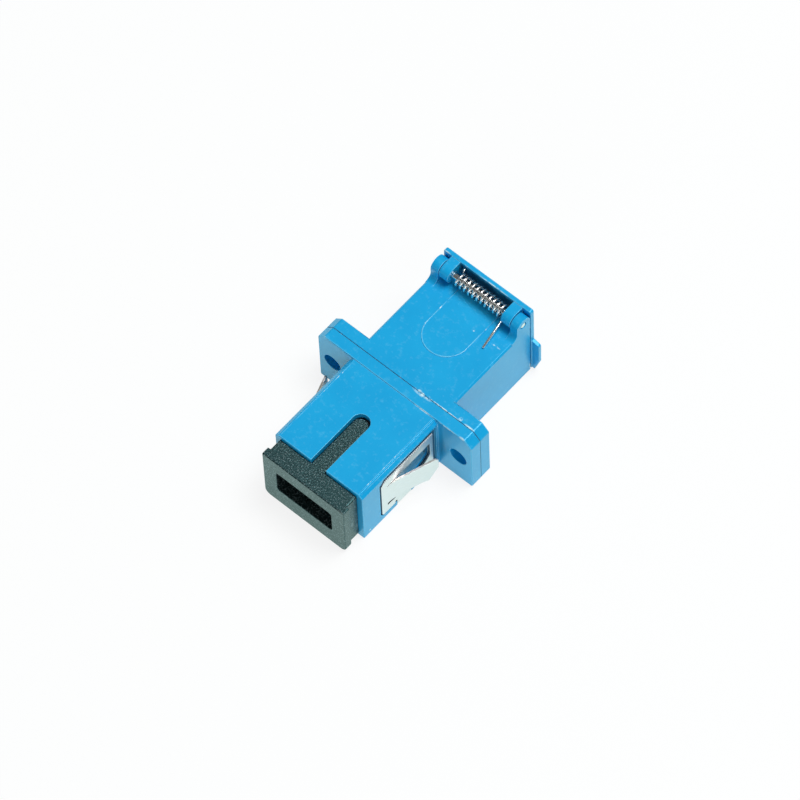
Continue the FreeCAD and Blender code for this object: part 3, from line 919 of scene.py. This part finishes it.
def floor():
    """A white floor that keeps the object's shadow. Most of its brightness is a glow that only the camera and
    reflections see, so the glow lights nothing."""
    mesh = bpy.data.meshes.new("floor")
    low = min(PLUG_LOW.z, REAR_LOW.z, CLIP_LOW.z)
    half = FLOOR_HALF
    corners = [(-half, -half, low), (half, -half, low), (half, half, low), (-half, half, low)]
    mesh.from_pydata(corners, [], [(0, 1, 2, 3)])
    obj = bpy.data.objects.new("floor", mesh)
    SCENE.collection.objects.link(obj)
    material, tree, shader = new_material("floor_look")
    shader.inputs["Base Color"].default_value = FLOOR_COLOUR
    shader.inputs["Roughness"].default_value = 0.6
    shader.inputs["Specular IOR Level"].default_value = 0.1
    glow = add(tree, "ShaderNodeEmission", Strength=1.0)
    path = add(tree, "ShaderNodeLightPath")
    gloss = path.outputs["Is Glossy Ray"]
    tree.links.new(mix(tree, gloss, WHITE, FLOOR_SHEEN), glow.inputs["Color"])
    seen = math_node(tree, "MAXIMUM", path.outputs["Is Camera Ray"], gloss)
    share = span(tree, gloss, 0.0, 1.0, FLOOR_GLOW, FLOOR_GLOW_IN_GLOSS)
    blend = add(tree, "ShaderNodeMixShader")
    tree.links.new(math_node(tree, "MULTIPLY", seen, share), blend.inputs["Fac"])
    tree.links.new(shader.outputs["BSDF"], blend.inputs[1])
    tree.links.new(glow.outputs["Emission"], blend.inputs[2])
    tree.links.new(blend.outputs["Shader"], tree.nodes["Material Output"].inputs["Surface"])
    mesh.materials.append(material)


def area_light(name, place, size, energy):
    """A square soft light at a place, facing the origin."""
    light = bpy.data.lights.new(name, "AREA")
    light.shape = "SQUARE"
    light.size = size
    light.energy = energy
    obj = bpy.data.objects.new(name, light)
    SCENE.collection.objects.link(obj)
    obj.location = place
    obj.rotation_mode = "QUATERNION"
    obj.rotation_quaternion = (-Vector(place)).to_track_quat("-Z", "Y")


def world_light(strength):
    """A plain surround: white where the camera sees it and dim as a light."""
    world = bpy.data.worlds.new("surround")
    world.use_nodes = True
    tree = world.node_tree
    back = tree.nodes["Background"]
    back.inputs["Color"].default_value = (*WHITE, 1.0)
    path = add(tree, "ShaderNodeLightPath")
    bright = span(tree, path.outputs["Is Camera Ray"], 0.0, 1.0, strength, 1.0)
    tree.links.new(bright, back.inputs["Strength"])
    SCENE.world = world


def photo_camera():
    """The camera, placed as fitted to the photo's frame."""
    data = bpy.data.cameras.new("camera")
    data.sensor_width = CAMERA_SENSOR
    data.lens = CAMERA_LENS
    data.clip_start, data.clip_end = CAMERA_CLIP
    obj = bpy.data.objects.new("camera", data)
    SCENE.collection.objects.link(obj)
    back = CAMERA_RIGHT.cross(CAMERA_UP)
    turn = Matrix((CAMERA_RIGHT, CAMERA_UP, back)).transposed().to_4x4()
    obj.matrix_world = Matrix.Translation(CAMERA_PLACE) @ turn
    SCENE.camera = obj


floor()
area_light("key", *KEY_LIGHT)
area_light("fill", *FILL_LIGHT)
world_light(WORLD_STRENGTH)
photo_camera()
SCENE.view_settings.view_transform = "Standard"
